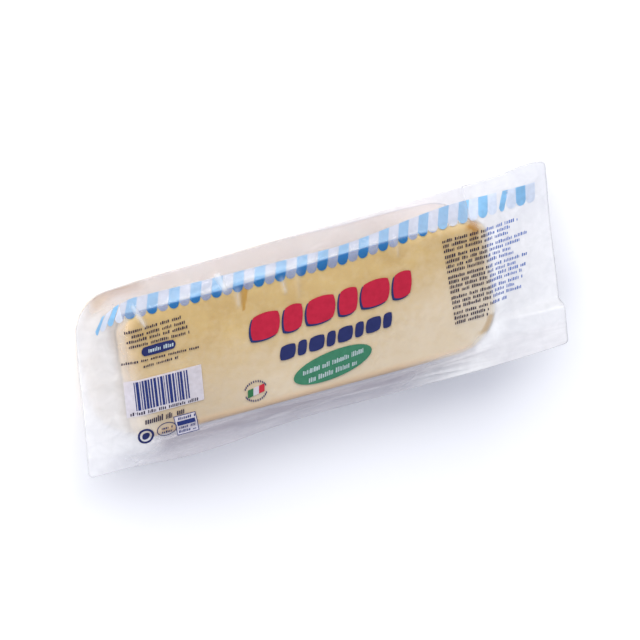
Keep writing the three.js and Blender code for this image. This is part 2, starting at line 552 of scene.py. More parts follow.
def noise(tree, size, low=0.0, high=1.0, stretch=(1, 1, 1), detail=4.0, warp=0.0):
    """Noise with spots of a size in millimetres, from low to high."""
    place = add_node(tree, "ShaderNodeTexCoord").outputs["Object"]
    mapping = add_node(tree, "ShaderNodeMapping", {"Vector": place, "Scale": stretch}).outputs["Vector"]
    inputs = {"Vector": mapping, "Scale": 1 / (size * MM), "Detail": detail, "Distortion": warp}
    spots = add_node(tree, "ShaderNodeTexNoise", inputs).outputs["Fac"]
    least, most = NOISE_SPAN
    limits = {"Value": spots, "From Min": least, "From Max": most, "To Min": low, "To Max": high}
    return add_node(tree, "ShaderNodeMapRange", limits).outputs["Result"]


def bumped(tree, height, strength, distance):
    """A normal that follows a height, with bumps of a depth in millimetres."""
    inputs = {"Height": height, "Strength": strength, "Distance": distance * MM}
    return add_node(tree, "ShaderNodeBump", inputs).outputs["Normal"]


def maths(tree, operation, one, other=0.0, clamp=False):
    node = add_node(tree, "ShaderNodeMath", {0: one, 1: other}, operation=operation, use_clamp=clamp)
    return node.outputs[0]


def blend(tree, share, one, other):
    node = add_node(tree, "ShaderNodeMix", {0: share, 6: one, 7: other}, data_type="RGBA")
    return node.outputs[2]


def mixed(tree, share, one, other):
    return add_node(tree, "ShaderNodeMixShader", {0: share, 1: one, 2: other}).outputs[0]


# The cheese's material
GOLDEN = srgb(198, 171, 112)
GOLDEN_DARK = srgb(178, 148, 90)
PALE = srgb(210, 194, 163)
CREAM = srgb(220, 206, 180)
SIDE_PALE = srgb(203, 187, 164)
SIDE_PINK = srgb(198, 174, 150)
END_PALE = srgb(206, 181, 144)
# Painted light: a warm, lit tone for the lower rim, which turns away from the light
LIT_LOWER_RIM = srgb(231, 192, 143)
# Painted light: a light tone that lifts the shade on the walls at the far right
LIT_FAR_RIGHT = srgb(240, 223, 205)
# Darker golden: painted shade in the fold's groove, and the smoked colour of the worn corner's bevel
FOLD_SHADE_AND_BEVEL = srgb(172, 132, 52)
# Painted shade: the face darkens to this tone towards its lower left
LOWER_LEFT_SHADE = srgb(194, 177, 147)
SMOKE = srgb(168, 122, 46)
MOTTLE = dict(size=16, detail=5.0, warp=0.4)
CLOUDS = dict(size=24, stretch=(0.6, 1, 1), detail=2.0)
SPOTS = dict(size=5, detail=2.0)
STAINS = dict(size=5, low=0.25, high=1.2)
GRAIN = dict(size=3.0)
GRAIN_BUMP = dict(strength=0.25, distance=0.4)
MOTTLE_SHARE = 0.6
CLOUD_SHARE = 0.4
SPOT_SHARE = 0.25
LIT_RIM_ON_FACE = 0.6
CHEESE_FINISH = {
    "Roughness": 0.5,
    "Specular IOR Level": 0.3,
    "Subsurface Weight": 0.12,
    "Subsurface Radius": (1.0, 0.7, 0.4),
    "Subsurface Scale": 3 * MM,
}


def face_colour(tree, mottle, lit_rim):
    """Golden at the top of the face and cream below, with painted shade: darker to the lower left and darker
    golden in the fold's groove. Painted light warms the lower rim, and the worn corner's bevel takes the
    darker golden too.
    """
    golden = blend(tree, maths(tree, "MULTIPLY", mottle, MOTTLE_SHARE), GOLDEN, GOLDEN_DARK)
    low = blend(tree, maths(tree, "MULTIPLY", noise(tree, **CLOUDS), CLOUD_SHARE), PALE, CREAM)
    low = blend(tree, attribute(tree, "lower_left_shade"), low, LOWER_LEFT_SHADE)
    spots = maths(tree, "SUBTRACT", noise(tree, **SPOTS), 0.5)
    spots = maths(tree, "MULTIPLY", spots, SPOT_SHARE)
    face = blend(tree, maths(tree, "ADD", attribute(tree, "golden"), spots, True), low, golden)
    # Painted light: the lower rim's warm lit tone reaches onto the face's edge
    face = blend(tree, maths(tree, "MULTIPLY", lit_rim, LIT_RIM_ON_FACE), face, LIT_LOWER_RIM)
    return blend(tree, attribute(tree, "fold_shade_and_bevel"), face, FOLD_SHADE_AND_BEVEL)


def side_colour(tree, mottle, lit_rim):
    """Pinkish walls, with painted light: a warm lit tone under the lower edge, and the lightest tone at the
    far right, where the wall's shade is lifted.
    """
    side = blend(tree, mottle, SIDE_PALE, SIDE_PINK)
    side = blend(tree, lit_rim, side, LIT_LOWER_RIM)
    return blend(tree, attribute(tree, "far"), side, LIT_FAR_RIGHT)


def cheese_material():
    material, tree = new_material("smoked_cheese")
    mottle = noise(tree, **MOTTLE)
    lit_rim = attribute(tree, "lit_rim")
    face = face_colour(tree, mottle, lit_rim)
    side = side_colour(tree, mottle, lit_rim)
    colour = blend(tree, attribute(tree, "wall"), face, side)
    colour = blend(tree, attribute(tree, "pale_end"), colour, END_PALE)
    stain = maths(tree, "MULTIPLY", attribute(tree, "smoke"), noise(tree, **STAINS), True)
    colour = blend(tree, stain, colour, SMOKE)
    normal = bumped(tree, noise(tree, **GRAIN), **GRAIN_BUMP)
    inputs = {"Base Color": colour, "Normal": normal, **CHEESE_FINISH}
    shown(tree, bsdf(tree, "Principled", inputs))
    return material


# The film's material
CLING_TINT = (0.975, 0.966, 0.975, 1)
LOOSE_TINT = (0.885, 0.885, 0.915, 1)
# Painted shade: a darker, pinkish tint on the lower skirt, strongest next to the loaf, for its shadow and the
# cheese's warm light below
SKIRT_SHADE_TINT = (0.83, 0.79, 0.805, 1)
HAZE = (0.955, 0.96, 0.955, 1)
HAZE_THROUGH = 0.27
HAZE_LEVEL = (0, 0, 3)
HAZE_CLOUDS = dict(size=9, low=0.88, high=1.12, detail=2.0, warp=0.5)
STREAKS = dict(size=2.2, stretch=(0.07, 1, 1), detail=3.0, warp=0.3)
STREAK_POWER = 2.0
STREAK_VEIL = 0.17
FILM_GRAIN = dict(size=3.4, detail=3.0, warp=1.0)
FILM_BUMP = dict(strength=0.2, distance=0.2)
FILM_ROUGH = 0.13
GLOSS_BLEND = 0.5
GLOSS_FACING = 0.03
GLOSS_POWER = 4.0


def level_normal(tree):
    """The surface's normal turned towards straight up, because a film's haze hardly shades with its folds."""
    normal = add_node(tree, "ShaderNodeNewGeometry").outputs["Normal"]
    lifted = add_node(tree, "ShaderNodeVectorMath", {0: normal, 1: HAZE_LEVEL}, operation="ADD").outputs[0]
    return add_node(tree, "ShaderNodeVectorMath", {0: lifted}, operation="NORMALIZE").outputs[0]


def haze_share(tree):
    """How milky the film is, in uneven clouds, with fine streaks along the lower margin. Part of this
    milkiness is real haze and part is painted light: glare, and light laid over shade.
    """
    streaks = maths(tree, "POWER", noise(tree, **STREAKS), STREAK_POWER)
    streaks = maths(tree, "MULTIPLY", streaks, STREAK_VEIL)
    streaks = maths(tree, "MULTIPLY", streaks, attribute(tree, "skirt"))
    milky = maths(tree, "MULTIPLY", attribute(tree, "milky"), noise(tree, **HAZE_CLOUDS))
    return maths(tree, "ADD", milky, streaks, True)


def film_body(tree):
    """Clear film with a haze that sends light back and lets some through. Its tint is darker and pinker on
    the lower skirt, as painted shade, and weaker on the loose film's lower side, as painted light.
    """
    tint = blend(tree, attribute(tree, "loose"), CLING_TINT, LOOSE_TINT)
    tint = blend(tree, attribute(tree, "skirt"), tint, SKIRT_SHADE_TINT)
    clear = bsdf(tree, "Transparent", {"Color": tint})
    haze = {"Color": HAZE, "Normal": level_normal(tree)}
    milk = mixed(tree, HAZE_THROUGH, bsdf(tree, "Diffuse", haze), bsdf(tree, "Translucent", haze))
    return mixed(tree, haze_share(tree), clear, milk)


def film_material():
    material, tree = new_material("clear_film")
    normal = bumped(tree, noise(tree, **FILM_GRAIN), **FILM_BUMP)
    gloss = bsdf(tree, "Glossy", {"Roughness": FILM_ROUGH, "Normal": normal})
    weight = add_node(tree, "ShaderNodeLayerWeight", {"Blend": GLOSS_BLEND, "Normal": normal})
    shine = maths(tree, "POWER", weight.outputs["Facing"], GLOSS_POWER)
    shine = maths(tree, "ADD", shine, GLOSS_FACING, True)
    shown(tree, mixed(tree, shine, film_body(tree), gloss))
    return material


# The inks
INKS = {
    # colour sent back, colour let through and share covered, then colour and share on loose film; the two
    # colours sent back are one ink painted darker over the cheese and lighter over the bright ground, as
    # painted shade and light
    "blue_ink": ((0.006, 0.14, 0.46, 1), (0.2, 0.62, 0.7, 1), 0.6, (0.24, 0.46, 0.70, 1), 0.85),
    "white_ink": ((0.15, 0.29, 0.64, 1), (0.93, 0.98, 1.0, 1), 0.45, (0.61, 0.68, 0.81, 1), 0.6),
    "red_ink": (srgb(176, 40, 62), srgb(190, 60, 60), 0.95),
    "navy_ink": (srgb(46, 52, 96), srgb(70, 70, 110), 0.92),
    "green_ink": (srgb(66, 124, 96), srgb(90, 140, 110), 0.92),
    "pale_ink": (srgb(190, 204, 206), srgb(200, 205, 205), 0.8),
    "field_green_ink": (srgb(58, 112, 76), srgb(90, 140, 110), 0.92),
    "field_red_ink": (srgb(190, 52, 64), srgb(190, 60, 60), 0.92),
    "panel_ink": (srgb(221, 218, 227), srgb(234, 230, 236), 0.62),
    "code_ink": (srgb(46, 57, 110), srgb(90, 100, 150), 0.9),
    "text_ink": (srgb(46, 40, 62), srgb(176, 180, 212), 0.9, srgb(84, 118, 190), 0.62),
}
INK_SHADE = 0.88
INK_TONES = dict(size=4, detail=3.0)
INK_SPREAD = dict(size=3, low=0.94, high=1.06, detail=3.0)


def shaded(colour):
    """The darker tone that an ink's patches vary to."""
    return tuple(value * INK_SHADE for value in colour[:3]) + (1.0,)


def ink_material(name, colour, through, cover, lit_loose_colour=None, loose_cover=None):
    material, tree = new_material(name)
    loose = attribute(tree, "loose")
    # Painted light: on loose film the ink takes its paler, lit copy
    pale = lit_loose_colour or colour
    tone = blend(tree, loose, colour, pale)
    darker = blend(tree, loose, shaded(colour), shaded(pale))
    tone = blend(tree, noise(tree, **INK_TONES), tone, darker)
    back = bsdf(tree, "Diffuse", {"Color": tone})
    clear = bsdf(tree, "Transparent", {"Color": through})
    extra = (loose_cover or cover) - cover
    amount = maths(tree, "ADD", maths(tree, "MULTIPLY", loose, extra), cover)
    amount = maths(tree, "MULTIPLY", amount, noise(tree, **INK_SPREAD), True)
    shown(tree, mixed(tree, amount, clear, back))
    return material


def ink(name):
    return bpy.data.materials.get(name) or ink_material(name, *INKS[name])


# The loaf
WALL_LEAD = 2
WALL_BLEND = 4
GOLDEN_RAMP = (-36, 62)
GOLDEN_RIGHT = 0.78
GOLDEN_RIGHT_POWER = 3.6
GOLDEN_RIGHT_RAMP = (30, 80)
# Where the painted shade at the face's lower left lies
LOWER_LEFT_SHADE_X = (-10, -60)
LOWER_LEFT_SHADE_Y = (12, -36)
# Where the painted light of the lower rim lies
LIT_RIM_Y = (-32, -5)
LIT_RIM_Z = (39, 6)
PALE_END_RAMP = (-93, -16)
# Where the painted light on the far right walls lies
LIT_FAR_RIGHT_SHARE = 0.7
LIT_FAR_RIGHT_X = (55, 40)
LIT_FAR_RIGHT_Y = (-10, 42)
# The groove's tapered patch of painted shade: its lower and upper middle points, half widths and softness
WEDGE = ((-35.2, 20.6), (-32.2, 38))
WEDGE_HALF = (0.6, 3.4)
WEDGE_SOFT = 0.9
BEVEL = 0.7
BEVEL_PAST = (-6.2, -0.7)
BEVEL_SOFT = 1.2
BEVEL_FROM = 90
BEVEL_Y = (-31, -17.5)
BEVEL_FADE = 3
SMOKE_BAND = 0.12
SMOKE_BAND_WIDE = 9
SMOKE_BAND_Y = (-20, 40)
SMOKE_SPOT = ((107.3, 3.8), (35, 5.5))
SMOKE_SPOT_SHARE = 2.0
SMOKE_SPOT_Z = (38, 8)
# Lines of smoke: left end, right end and share
SMOKE_LINES = ((-116, 112, 0.2), (34, 88, 0.7), (-116, -77, 1.8))
SMOKE_LINE_FADE = 14
SMOKE_LINE_Z = (10.2, 1.9)
SMOKE_BACK = ((-70, 20), (27, 10))
SMOKE_BACK_SHARE = 0.18
SMOKE_BASE = 0.3
SMOKE_BASE_Z = (5, -5)
FACE_RING = (-53.4, 16.2)
FACE_RING_REACH = (3.4, 5.6)
FACE_RING_BELL = (1, 0.16)
FACE_RING_SHARE = 0.16


def spot(one, other, one_bell, other_bell):
    return bell(one, one_bell) * bell(other, other_bell)


def fold_shade_wedge(x, y):
    """A fold that narrows to a point, where the film's groove presses into the face; its darker golden is
    painted shade.
    """
    (start_x, start_y), (end_x, end_y) = WEDGE
    along = (y - start_y) / (end_y - start_y)
    across = np.abs(x - mix(start_x, end_x, along))
    half = mix(*WEDGE_HALF, clamp01(along))
    return smooth((half - across) / WEDGE_SOFT + 0.5) * (along > 0) * (along < 1)


def bevel(x, y):
    """A strip just inside the edge of the loaf's worn lower right corner."""
    strip = span(face_distance(x, y), *BEVEL_PAST, BEVEL_SOFT) * (x > BEVEL_FROM)
    return strip * span(y, *BEVEL_Y, BEVEL_FADE)


def smoke_share(x, y, z):
    """Smoke stains: at the right end and its upper corner, on the back wall, at the base and in a ring."""
    band = SMOKE_BAND * smooth((x - FACE["right"] + SMOKE_BAND_WIDE) / SMOKE_BAND_WIDE)
    band *= span(y, *SMOKE_BAND_Y, SMOKE_BAND_WIDE)
    corner = SMOKE_SPOT_SHARE * spot(x, y, *SMOKE_SPOT) * ramp(z, SMOKE_SPOT_Z)
    lines = sum(share * span(x, left, right, SMOKE_LINE_FADE) for left, right, share in SMOKE_LINES)
    lines = lines * bell(z, SMOKE_LINE_Z) * (y > 0)
    back = SMOKE_BACK_SHARE * spot(x, z, *SMOKE_BACK) * (y > FACE["top"] - TOP_BOW)
    base = SMOKE_BASE * ramp(z, SMOKE_BASE_Z)
    reach = np.hypot((x - FACE_RING[0]) / FACE_RING_REACH[0], (y - FACE_RING[1]) / FACE_RING_REACH[1])
    ring = FACE_RING_SHARE * bell(reach, FACE_RING_BELL)
    return np.max([band, corner, lines, back, base, ring], axis=0)


def cheese_values(x, y, z):
    """The share of each colour over the loaf, by the name that its material reads."""
    right = ramp(x, GOLDEN_RIGHT_RAMP)
    golden = ramp(y, GOLDEN_RAMP) ** mix(1.0, GOLDEN_RIGHT_POWER, right) * mix(1.0, GOLDEN_RIGHT, right)
    return {
        "smoke": smoke_share(x, y, z),
        "golden": golden,
        "lower_left_shade": ramp(x, LOWER_LEFT_SHADE_X) * ramp(y, LOWER_LEFT_SHADE_Y),
        "lit_rim": ramp(y, LIT_RIM_Y) * ramp(z, LIT_RIM_Z),
        "fold_shade_and_bevel": np.maximum(fold_shade_wedge(x, y), BEVEL * bevel(x, y)),
        "pale_end": ramp(x, PALE_END_RAMP),
        "far": LIT_FAR_RIGHT_SHARE * ramp(x, LIT_FAR_RIGHT_X) * ramp(y, LIT_FAR_RIGHT_Y),
    }


def cheese_rings(a, b):
    """Rings round the loaf: its soft upper edge, then its wall down to the base."""
    rings = []
    for k in range(EDGE_RINGS + 1):
        angle = k / EDGE_RINGS * math.pi / 2
        x, y = loaf_outline(a, b, inset(FACE, RIM_INSET * (1 - math.sin(angle)) + CHEESE_INSET))
        drop = CHEESE_EDGE * (1 - math.cos(angle)) + CHEESE_GAP
        rings.append(stacked(x, y, film_top(x, y) - drop))
    start = rings[-1][:, 2]
    for k in range(1, WALL_RINGS + 1):
        height = mix(start, CHEESE_LIFT, eased(k / WALL_RINGS))
        rings.append(wall_point(a, b, height, CHEESE_INSET))
    return rings


def make_cheese():
    a, b = border_walk()
    rings = cheese_rings(a, b)
    x, y = cap_plan(inset(FACE, RIM_INSET + CHEESE_INSET))
    top = stacked(x, y, film_top(x, y) - CHEESE_GAP)
    x, y = cap_plan(inset(BASE, CHEESE_INSET))
    base = stacked(x, y, np.full_like(x, CHEESE_LIFT))
    points, faces = closed_mesh(rings, top, base)
    piece = add_piece("cheese_loaf", points, faces, cheese_material())
    wall = [np.full(len(a), smooth((k - EDGE_RINGS + WALL_LEAD) / WALL_BLEND)) for k in range(len(rings))]
    add_values(piece, "wall", np.concatenate(wall + [np.zeros(len(top)), np.ones(len(base))]))
    for name, values in cheese_values(*points.T).items():
        add_values(piece, name, values)


# The film, whose milky veil is partly real haze and partly painted light: glare on the upper margin and the
# pleats, and light laid over the shade at the loaf's edges, on the right flap and on the skirt
VEIL_FACE = 0.02
VEIL_WALL = 0.1
VEIL = dict(left=0.34, flap=0.36, right=0.5, far_right=0.42, top=0.16, bottom=0.04)
VEIL_START = dict(top=-1.0, bottom=-3.0, right=-10.0)
VEIL_RUN = dict(top=1.5, bottom=5.0, right=12.0)
FLAP_X = (100, 14)
FAR_RIGHT_Y = (14, 26)
END_VEIL_X = (-142, 12)
END_VEIL_Y = (-46, 12)
LEFT_VEIL = 0.44
LEFT_VEIL_X = (-95, -17)
LEFT_VEIL_Y = (-56, 17)
LEFT_VEIL_SKEW = 0.24
RIGHT_FACE_VEIL = 0.19
RIGHT_FACE_X = (80, 30)
RIGHT_FACE_Y = (26, -44)
LOW_VEIL = 0.1
LOW_VEIL_PAST = (5, 8)
SKIRT_VEIL = 0.55
SKIRT_VEIL_X = (45, 50)
EDGE_LIGHT_VEIL = dict(bottom=0.05, low_right=0.5, right=0.78)
EDGE_VEIL_BELL = dict(bottom=(-0.5, 4.0), right=(0.2, 5.2))
EDGE_VEIL_X = (90, 14)
EDGE_VEIL_Y = (33, -6)
CLEAR_EDGE = 0.95
CLEAR_PAST = (8, 5)
CLEAR_Y = (34, 5)
CLEAR_X = (-128, -80)
CLEAR_X_FADE = 14
BEVEL_CLEAR = 0.55
# Painted light: the loose film's tint falls to this share over its lower side, where the ground beneath lies
# in shade
TINT_OVER_SHADE = 0.25
TINT_Y = (5, 40)
SKIRT_X = (-112, 30)
SKIRT_Y = (-32, -6)
SKIRT_SHADE_OUTER = 0.42
SKIRT_SHADE_OUTER_PAST = (2, 7)


def face_veil(x, y):
    """The film on the face turns milky towards the loaf's ends and along its pleats, where it also stands in
    for their glints as painted highlights.
    """
    left = LEFT_VEIL * ramp(x + LEFT_VEIL_SKEW * y, LEFT_VEIL_X) * ramp(y, LEFT_VEIL_Y)
    right = RIGHT_FACE_VEIL * ramp(x, RIGHT_FACE_X) * ramp(y, RIGHT_FACE_Y)
    pleats = np.zeros_like(x)
    for foot, low, high, lean, _, width, veil in PLEATS:
        pleats += crease(x, y, (foot, low), (foot + lean, high), veil, width, PLEAT_TAPER)
    return VEIL_FACE + left + right + pleats


def by_side(values, lower, right):
    """A value of the film's upper side, lower side or right end, blended where they meet."""
    return mix(mix(values["top"], values["bottom"], lower), values["right"], right)


def margin_veil(x, y, past):
    """The film's margin is milky to a different share on each side, from near the loaf's edge on; on the
    upper side the milkiness stands in for glare, and on the right flap and the skirt it lays painted light
    over shade.
    """
    right = ramp(x, FLAP_X)
    left = end_shares(x)[1]
    lower = lower_share(y)
    skirt = VEIL["bottom"] + SKIRT_VEIL * ramp(x, SKIRT_VEIL_X) + LOW_VEIL * ramp(past, LOW_VEIL_PAST)
    side = mix(VEIL["top"], skirt, lower)
    end = mix(VEIL["flap"], VEIL["left"], ramp(x, END_VEIL_X) * ramp(y, END_VEIL_Y))
    flap = mix(VEIL["right"], VEIL["far_right"], ramp(y, FAR_RIGHT_Y))
    zone = side * (1 - right - left) + flap * right + end * left
    onset = (by_side(VEIL_START, lower, right), by_side(VEIL_RUN, lower, right))
    return mix(VEIL_FACE, zone, ramp(past, onset))


def edge_light_veil(x, y, past):
    """A milky line along the loaf's lower edge, and one along its right edge, where the film bridges the edge
    and lays painted light over the shade there.
    """
    bottom = mix(EDGE_LIGHT_VEIL["bottom"], EDGE_LIGHT_VEIL["low_right"], ramp(x, SKIRT_VEIL_X)) * lower_share(y)
    right = EDGE_LIGHT_VEIL["right"] * ramp(x, EDGE_VEIL_X) * ramp(y, EDGE_VEIL_Y)
    bottom = bottom * bell(past, EDGE_VEIL_BELL["bottom"])
    return np.maximum(bottom, right * bell(past, EDGE_VEIL_BELL["right"]))


def film_veil(ring, past):
    """How milky the film is at points that lie a distance past the loaf's upper edge."""
    x, y, _ = ring.T
    veil = np.max([face_veil(x, y), margin_veil(x, y, past), edge_light_veil(x, y, past)], axis=0)
    clear = CLEAR_EDGE * ramp(past, CLEAR_PAST) * ramp(y, CLEAR_Y) * span(x, *CLEAR_X, CLEAR_X_FADE)
    return veil * (1 - BEVEL_CLEAR * bevel(x, y)) * (1 - clear)


def film_rings(a, b):
    """Rings from the face's rim to the cut edge, back under it and down the wall, with veil and slack."""
    rows = []
    for k in range(RIM_RINGS):
        ring = rim_point(a, b, k / RIM_RINGS)
        rows.append((ring, film_veil(ring, face_distance(ring[:, 0], ring[:, 1])), 0.0))
    for t in np.linspace(0, 1, MARGIN_RINGS + 1):
        ring = margin_point(a, b, t)
        rows.append((ring, film_veil(ring, t * MARGIN_REACH), smooth(t / LOOSE_RUN)))
    for t in np.linspace(1, UNDER_START, UNDER_RINGS + 1):
        ring = margin_point(a, b, t) - np.array([0, 0, FILM_THICK])
        rows.append((ring, film_veil(ring, t * MARGIN_REACH), 1.0))
    start = rows[-1][0][:, 2] - WALL_GAP
    for k in range(WALL_RINGS + 1):
        ring = wall_point(a, b, mix(start, 0.0, eased(k / WALL_RINGS)))
        rows.append((ring, np.full(len(a), VEIL_WALL), 0.0))
    rings, veils, slacks = zip(*rows)
    return list(rings), list(veils), [np.full(len(a), slack) for slack in slacks]


def make_film():
    """Makes the film and returns a search tree of it, for the print to lie on."""
    rings, veils, slacks = film_rings(*border_walk())
    x, y = cap_plan(inset(FACE, RIM_INSET))
    top = stacked(x, y, film_top(x, y))
    face = film_veil(top, face_distance(x, y))
    x, y = cap_plan(BASE)
    base = stacked(x, y, np.zeros_like(x))
    points, faces = closed_mesh(rings, top, base)
    piece = add_piece("film", points, faces, film_material())
    x, y, _ = points.T
    loose = np.concatenate(slacks + [np.zeros(len(top) + len(base))])
    # The skirt: painted shade in the film's tint, strongest next to the loaf, and streaks in its haze
    skirt = ramp(y, SKIRT_Y) * ramp(x, SKIRT_X)
    skirt *= mix(1.0, SKIRT_SHADE_OUTER, ramp(face_distance(x, y), SKIRT_SHADE_OUTER_PAST))
    add_values(piece, "milky", np.concatenate(veils + [face, np.full(len(base), VEIL_WALL)]))
    # Painted light: the loose film's tint weakens towards its lower side, over shaded ground
    add_values(piece, "loose", loose * mix(TINT_OVER_SHADE, 1.0, ramp(y, TINT_Y)))
    add_values(piece, "skirt", loose * skirt)
    return BVHTree.FromPolygons(points.tolist(), faces.tolist())


# The print
HIGH = 100.0
DOWN = Vector((0, 0, -1))
INK_CLING = (-0.5, 1.0)
# Depths under the film's outer side, on the loaf and at its milky ends; a negative one lies over the film
TOP_DEPTH = (-0.16, -0.16)
UNDER_DEPTH = (-0.08, -0.08)
STRIPE_DEPTH = (0.15, -0.16)
LEFT_END = (-101, -6)
RIGHT_END = (103, 6)
PILLOW_SOFT = 0.55
HOOP_STEPS = 40


def patch(across, along, place):
    """A grid of quads; place turns shares from 0 to 1 both ways into plan points."""
    u, v = np.meshgrid(np.linspace(0, 1, across + 1), np.linspace(0, 1, along + 1), indexing="ij")
    index = np.arange(u.size).reshape(u.shape)
    return stacked(*place(u.ravel(), v.ravel())), grid_faces(index)


def printed(film, name, patches, ink_name, depth=TOP_DEPTH):
    """Lays patches of one ink on the film."""
    faces = []
    first = 0
    for plan, quads in patches:
        faces.append(quads + first)
        first += len(plan)
    x, y = np.concatenate([plan for plan, _ in patches]).T
    above = stacked(x, y, np.full_like(x, HIGH))
    heights = np.array([film.ray_cast(Vector(start), DOWN)[0].z for start in above.tolist()])
    ends = np.maximum(ramp(x, LEFT_END), ramp(x, RIGHT_END))
    points = stacked(x, y, heights - mix(*depth, ends))
    piece = add_piece(name, points, np.concatenate(faces), ink(ink_name))
    add_values(piece, "loose", ramp(past_cling(x, y), INK_CLING))


def bar(x, y, width, height, slant=0.0, rise=0.0, steps=(1, 1)):
    """An upright bar from its lower left corner, leaning by slant and rising along by rise."""
    def place(u, v):
        return x + u * width + v * slant, y + v * height + u * rise
    return patch(*steps, place)


def pillow(x, y, width, height, slant=0.0, rise=0.0, soft=PILLOW_SOFT, steps=(8, 8)):
    """A soft-cornered block round its middle."""
    def place(u, v):
        s = 2 * u - 1
        t = 2 * v - 1
        across = s * mix(1, np.sqrt(1 - t * t / 2), soft)
        along = t * mix(1, np.sqrt(1 - s * s / 2), soft)
        return x + across * width / 2 + along * slant / 2, y + along * height / 2 + across * rise / 2
    return patch(*steps, place)


def hoop(x, y, width, height, line):
    """An oval outline."""
    def place(u, v):
        angle = 2 * math.pi * u
        shrink = line * v
        return x + (width / 2 - shrink) * np.cos(angle), y + (height / 2 - shrink) * np.sin(angle)
    return patch(HOOP_STEPS, 1, place)


# The border of stripes
STRIPE_PITCH = 12.55
STRIPE_FIRST = -99.3
STRIPE_COUNTS = range(-2, 20)
STRIPE_STEPS = (8, 20)
STRIPE_WIDTH = 6.3
STRIPE_HEIGHT = 10.1
STRIPE_GROWTH = 1.4
STRIPE_GROWTH_X = (20, 80)
STRIPE_TIP = 32.2
STRIPE_RISE = 5.2
STRIPE_RISE_X = (15, 85)
# Drops at the left end: height and ramp
STRIPE_DROPS = ((1.6, (-98, -12)), (5, (-108, -14)))
STRIPE_LEAN = 3.2
STRIPE_LEFT_LEAN = 1.6
STRIPE_LEFT_X = (-100, -8)
STRIPE_RIGHT_LEAN = -2.7
STRIPE_RIGHT_X = (100, 35)
SCALLOP = 0.98
END_STRIPES = {-2: 0.55, -1: 0.75}
FOLDED_STRIPE = 18
FOLDED_WIDTH = 0.6
FOLDED_LEAN = 2.7
GATHER_FROM = -100
GATHER = 0.01


def gathered(x):
    """The film's left end is drawn together, and the print on it with it."""
    past = np.maximum(0, GATHER_FROM - x)
    return x + GATHER * past ** 2


def stripe_tip(x):
    """Where the stripes end, which follows the film's slope and its folded left end."""
    left = sum(height * ramp(x, drop) for height, drop in STRIPE_DROPS)
    return STRIPE_TIP + STRIPE_RISE * ramp(x, STRIPE_RISE_X) - left


def stripe(middle, width, more_lean=0.0):
    """A leaning stripe with a round lower end."""
    def place(u, v):
        x = gathered(middle + (u - 0.5) * width)
        tip = stripe_tip(x)
        low = tip + STRIPE_WIDTH / 2 * (1 - np.sqrt(1 - SCALLOP * (2 * u - 1) ** 2))
        high = tip + STRIPE_HEIGHT + STRIPE_GROWTH * ramp(x, STRIPE_GROWTH_X)
        lean = STRIPE_LEAN + more_lean + STRIPE_LEFT_LEAN * ramp(x, STRIPE_LEFT_X)
        lean += STRIPE_RIGHT_LEAN * ramp(x, STRIPE_RIGHT_X)
        return x + lean * v, mix(low, high, v)
    return patch(*STRIPE_STEPS, place)


def make_stripes(film):
    blue = []
    white = []
    for k in STRIPE_COUNTS:
        middle = STRIPE_FIRST + STRIPE_PITCH * k
        if k == FOLDED_STRIPE:
            blue.append(stripe(middle, STRIPE_WIDTH * FOLDED_WIDTH, FOLDED_LEAN))
        else:
            blue.append(stripe(middle, STRIPE_WIDTH * END_STRIPES.get(k, 1.0)))
        white.append(stripe(middle + STRIPE_PITCH / 2, STRIPE_WIDTH))
    printed(film, "stripes_blue", blue, "blue_ink", STRIPE_DEPTH)
    printed(film, "stripes_white", white, "white_ink", STRIPE_DEPTH)


# The rows of blocks
TITLE = dict(start=-33, foot=2.0, rise=0.035, gap=2.2, slant=2.4, widths=(17.5, 11.5) * 3, height=15)
TITLE_SHADOW = (-1.3, -1.0)
SECOND = dict(start=-18, foot=-13.2, rise=0.05, gap=1.2, slant=1.6, widths=(9.5, 5.5) * 4, height=8.8)


def block_row(start, foot, rise, gap, slant, widths, height, shift=(0, 0)):
    """A row of soft blocks of one height on a rising foot line."""
    row = []
    x = start
    for width in widths:
        middle = x + width / 2
        y = foot + rise * (middle - start) + height / 2
        row.append(pillow(middle + shift[0], y + shift[1], width, height, slant, rise * width))
        x += width + gap
    return row


def make_blocks(film):
    printed(film, "title_shadow", block_row(**TITLE, shift=TITLE_SHADOW), "navy_ink", UNDER_DEPTH)
    printed(film, "title_blocks", block_row(**TITLE), "red_ink")
    printed(film, "second_blocks", block_row(**SECOND), "navy_ink")


# Rows of tiny marks
MARK_SEED = 5
GROUP_LENGTH = (3.5, 11)
GROUP_GAP = 1.3
MARK_WIDTH = (0.42, 0.95)
MARK_GAP = 0.45
MARK_TALL = (0.65, 1.0)
MARK_SLANT = 0.12


def mark_row(rng, left, right, y, height, rise=0.0):
    """A row of tiny upright marks in groups."""
    marks = []
    x = left
    while x < right:
        stop = min(right, x + rng.uniform(*GROUP_LENGTH))
        while x < stop:
            width = rng.uniform(*MARK_WIDTH)
            tall = height * rng.uniform(*MARK_TALL)
            marks.append(bar(x, y + rise * (x - left), width, tall, MARK_SLANT * tall))
            x += width + MARK_GAP
        x += GROUP_GAP
    return marks


# The green oval
OVAL = (12.4, -22.9)
OVAL_SIZE = (48, 16.6)
OVAL_RISE = 5.6
OVAL_STEPS = (24, 14)
OVAL_ROWS = ((-6, 31, -24.8), (-3, 26, -30.0))
OVAL_MARK = 3.0


def make_green_oval(film, rng):
    oval = pillow(*OVAL, *OVAL_SIZE, rise=OVAL_RISE, soft=1.0, steps=OVAL_STEPS)
    printed(film, "green_oval", [oval], "green_ink", UNDER_DEPTH)
    marks = []
    for left, right, y in OVAL_ROWS:
        marks += mark_row(rng, left, right, y, OVAL_MARK, OVAL_RISE / OVAL_SIZE[0])
    printed(film, "oval_marks", marks, "pale_ink")


